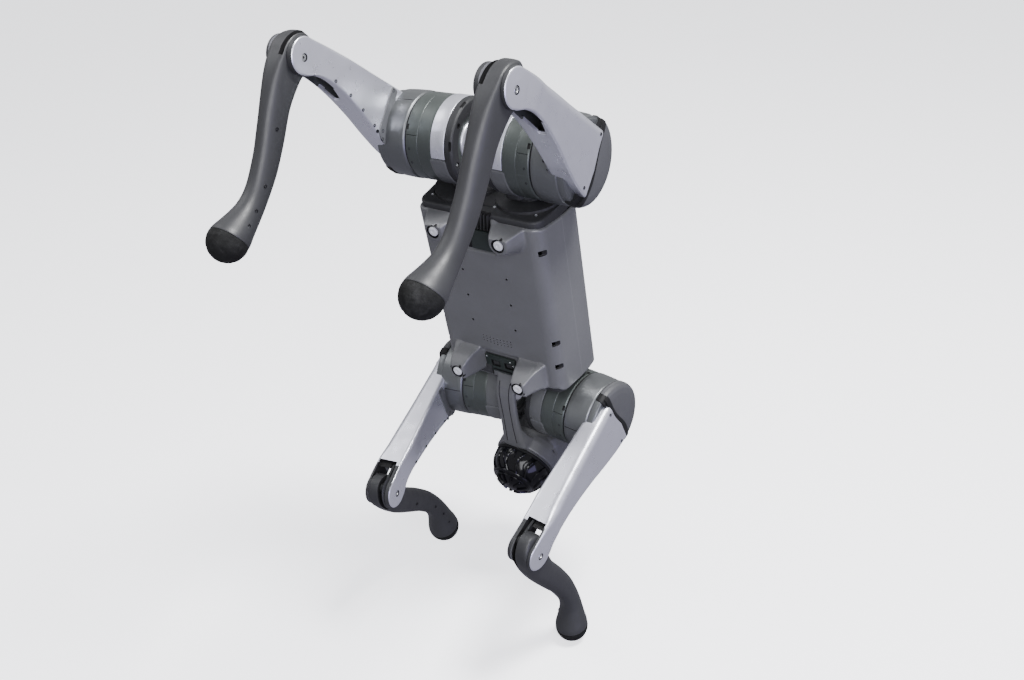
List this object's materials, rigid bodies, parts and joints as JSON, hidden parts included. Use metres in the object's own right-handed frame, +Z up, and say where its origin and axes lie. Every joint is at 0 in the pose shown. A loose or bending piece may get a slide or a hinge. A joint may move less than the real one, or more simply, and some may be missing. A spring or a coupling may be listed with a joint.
{
  "type": "quadruped robot dog",
  "caption": "Quadruped robot dog balancing on its front feet, with hinged hips, thighs and knees, a scanner dome under its head and a side battery.",
  "frame": {"origin": "on the floor, under the middle of the whole model, with the robot standing on its front feet", "axes": "+Z up, along the upright trunk from its head end to its rear end; +Y away from the belly, towards the back; +X towards the right side of the robot"},
  "size_m": [0.3144, 0.4726, 0.8494],
  "materials": {
    "trunk_shell": "satin grey paint with a fine metallic grain",
    "dark_frame": "matt, moulded",
    "motor_metal": "grey-green anodised, satin",
    "dark_plastic": "satin, fine grain",
    "leg_plastic": "satin, fine grain",
    "silver_metal": "satin silver paint",
    "black_gloss": "polished",
    "black_matte": "matt",
    "white_pad": "matt",
    "steel": "turned",
    "circuit_board": "solder mask",
    "foot_rubber": "matt, slightly mottled"
  },
  "bodies": {
    "trunk": {"belly_cover": "trunk_shell", "back_cover": "trunk_shell", "chassis": "dark_frame", "hip_motors": "motor_metal", "main_board": "circuit_board", "head_shell": "trunk_shell", "face_panel": "black_gloss", "camera": "black_gloss", "lidar_base": "dark_plastic", "lidar_dome": "black_gloss", "belly_pads": "white_pad", "port_panel": "black_matte", "vent_grille": "dark_frame"},
    "battery": {"battery": "dark_plastic"},
    "power_button": {"power_button": "steel"},
    "lidar_rotor": {"lidar_rotor": "steel"},
    "hip_fl": {"hip_fl": "silver_metal", "thigh_motor_fl": "motor_metal"},
    "upper_leg_fl": {"thigh_fl": "silver_metal", "thigh_cover_fl": "silver_metal", "motor_cap_fl": "dark_plastic", "knee_pin_fl": "steel", "knee_motor_fl": "motor_metal"},
    "lower_leg_fl": {"calf_fl": "leg_plastic", "foot_fl": "foot_rubber"},
    "crank_fl": {"crank_fl": "steel"},
    "rod_fl": {"rod_fl": "steel"},
    "hip_fr": {"hip_fr": "silver_metal", "thigh_motor_fr": "motor_metal"},
    "upper_leg_fr": {"thigh_fr": "silver_metal", "thigh_cover_fr": "silver_metal", "motor_cap_fr": "dark_plastic", "knee_pin_fr": "steel", "knee_motor_fr": "motor_metal"},
    "lower_leg_fr": {"calf_fr": "leg_plastic", "foot_fr": "foot_rubber"},
    "crank_fr": {"crank_fr": "steel"},
    "rod_fr": {"rod_fr": "steel"},
    "hip_rl": {"hip_rl": "silver_metal", "thigh_motor_rl": "motor_metal"},
    "upper_leg_rl": {"thigh_rl": "silver_metal", "thigh_cover_rl": "silver_metal", "motor_cap_rl": "dark_plastic", "knee_pin_rl": "steel", "knee_motor_rl": "motor_metal"},
    "lower_leg_rl": {"calf_rl": "leg_plastic", "foot_rl": "foot_rubber"},
    "crank_rl": {"crank_rl": "steel"},
    "rod_rl": {"rod_rl": "steel"},
    "hip_rr": {"hip_rr": "silver_metal", "thigh_motor_rr": "motor_metal"},
    "upper_leg_rr": {"thigh_rr": "silver_metal", "thigh_cover_rr": "silver_metal", "motor_cap_rr": "dark_plastic", "knee_pin_rr": "steel", "knee_motor_rr": "motor_metal"},
    "lower_leg_rr": {"calf_rr": "leg_plastic", "foot_rr": "foot_rubber"},
    "crank_rr": {"crank_rr": "steel"},
    "rod_rr": {"rod_rr": "steel"}
  },
  "joints": [
    {"name": "fl_hip", "type": "hinge", "parent": "trunk", "child": "hip_fl", "pos_m": [-0.04758, 0.16407, 0.30924], "axis": [0, 0.165, -0.9863], "range_deg": [-38.8, 57.2]},
    {"name": "fl_thigh", "type": "hinge", "parent": "hip_fl", "child": "upper_leg_fl", "pos_m": [-0.14185, 0.14901, 0.30672], "axis": [-0.9871, -0.1577, -0.0264], "range_deg": [-79.4, 210.6]},
    {"name": "fl_knee", "type": "hinge", "parent": "upper_leg_fl", "child": "lower_leg_fl", "pos_m": [-0.10838, -0.04836, 0.23397], "axis": [-0.9871, -0.1577, -0.0264], "range_deg": [-46.3, 61.7]},
    {"name": "fl_crank", "type": "hinge", "parent": "upper_leg_fl", "child": "crank_fl", "pos_m": [-0.14185, 0.14901, 0.30672], "axis": [-0.9871, -0.1577, -0.0264], "range_deg": [-46.8, 62.2]},
    {"name": "fl_rod", "type": "hinge", "parent": "crank_fl", "child": "rod_fl", "pos_m": [-0.14024, 0.13634, 0.32211], "axis": [-0.9871, -0.1577, -0.0264], "range_deg": [-62.2, 46.8]},
    {"name": "fr_hip", "type": "hinge", "parent": "trunk", "child": "hip_fr", "pos_m": [0.04542, 0.16407, 0.30924], "axis": [0, 0.165, -0.9863], "range_deg": [-54.3, 41.7]},
    {"name": "fr_thigh", "type": "hinge", "parent": "hip_fr", "child": "upper_leg_fr", "pos_m": [0.14034, 0.15373, 0.30751], "axis": [-0.994, 0.1082, 0.0181], "range_deg": [-74.6, 215.4]},
    {"name": "fr_knee", "type": "hinge", "parent": "upper_leg_fr", "child": "lower_leg_fr", "pos_m": [0.11781, -0.03824, 0.21804], "axis": [-0.994, 0.1082, 0.0181], "range_deg": [-67.3, 40.7]},
    {"name": "fr_crank", "type": "hinge", "parent": "upper_leg_fr", "child": "crank_fr", "pos_m": [0.14034, 0.15373, 0.30751], "axis": [-0.994, 0.1082, 0.0181], "range_deg": [-67.8, 41.2]},
    {"name": "fr_rod", "type": "hinge", "parent": "crank_fr", "child": "rod_fr", "pos_m": [0.13981, 0.14576, 0.32584], "axis": [-0.994, 0.1082, 0.0181], "range_deg": [-41.2, 67.8]},
    {"name": "rl_hip", "type": "hinge", "parent": "trunk", "child": "hip_rl", "pos_m": [-0.04758, 0.10023, 0.69074], "axis": [0, 0.165, -0.9863], "range_deg": [-38, 50.3]},
    {"name": "rl_thigh", "type": "hinge", "parent": "hip_rl", "child": "upper_leg_rl", "pos_m": [-0.143, 0.09645, 0.69011], "axis": [-0.9992, -0.0396, -0.0066], "range_deg": [-138.3, 151.7]},
    {"name": "rl_knee", "type": "hinge", "parent": "upper_leg_rl", "child": "lower_leg_rl", "pos_m": [-0.13732, -0.06944, 0.82359], "axis": [-0.9992, -0.0396, -0.0066], "range_deg": [-67.6, 40.4]},
    {"name": "rl_crank", "type": "hinge", "parent": "upper_leg_rl", "child": "crank_rl", "pos_m": [-0.143, 0.09645, 0.69011], "axis": [-0.9992, -0.0396, -0.0066], "range_deg": [-68.1, 40.9]},
    {"name": "rl_rod", "type": "hinge", "parent": "crank_rl", "child": "rod_rl", "pos_m": [-0.14362, 0.1094, 0.70533], "axis": [-0.9992, -0.0396, -0.0066], "range_deg": [-40.9, 68.1]},
    {"name": "rr_hip", "type": "hinge", "parent": "trunk", "child": "hip_rr", "pos_m": [0.04542, 0.10023, 0.69074], "axis": [0, 0.165, -0.9863], "range_deg": [-49.2, 34]},
    {"name": "rr_thigh", "type": "hinge", "parent": "hip_rr", "child": "upper_leg_rr", "pos_m": [0.1409, 0.09826, 0.69041], "axis": [-0.9998, 0.0207, 0.0035], "range_deg": [-137.1, 152.9]},
    {"name": "rr_knee", "type": "hinge", "parent": "upper_leg_rr", "child": "lower_leg_rr", "pos_m": [0.13786, -0.07047, 0.82037], "axis": [-0.9998, 0.0207, 0.0035], "range_deg": [-70.6, 37.4]},
    {"name": "rr_crank", "type": "hinge", "parent": "upper_leg_rr", "child": "crank_rr", "pos_m": [0.1409, 0.09826, 0.69041], "axis": [-0.9998, 0.0207, 0.0035], "range_deg": [-71.1, 37.9]},
    {"name": "rr_rod", "type": "hinge", "parent": "crank_rr", "child": "rod_rr", "pos_m": [0.14123, 0.11169, 0.70522], "axis": [-0.9998, 0.0207, 0.0035], "range_deg": [-37.9, 71.1]},
    {"name": "battery_slide", "type": "slide", "parent": "trunk", "child": "battery", "axis": [-1, 0, 0], "range_m": [0, 0.12]},
    {"name": "power_press", "type": "slide", "parent": "battery", "child": "power_button", "axis": [1, 0, 0], "range_m": [0, 0.0012], "stiffness_N_per_m": 900, "springref_m": -0.0005},
    {"name": "scanner_spin", "type": "hinge", "parent": "trunk", "child": "lidar_rotor", "pos_m": [-0.00108, 0.13377, 0.20674], "axis": [0, -0.887, -0.4617], "continuous": true}
  ],
  "couplings": [
    {"joint": "fl_crank", "follows": "fl_knee", "ratio": 1},
    {"joint": "fl_rod", "follows": "fl_knee", "ratio": -1},
    {"joint": "fr_crank", "follows": "fr_knee", "ratio": 1},
    {"joint": "fr_rod", "follows": "fr_knee", "ratio": -1},
    {"joint": "rl_crank", "follows": "rl_knee", "ratio": 1},
    {"joint": "rl_rod", "follows": "rl_knee", "ratio": -1},
    {"joint": "rr_crank", "follows": "rr_knee", "ratio": 1},
    {"joint": "rr_rod", "follows": "rr_knee", "ratio": -1}
  ]
}
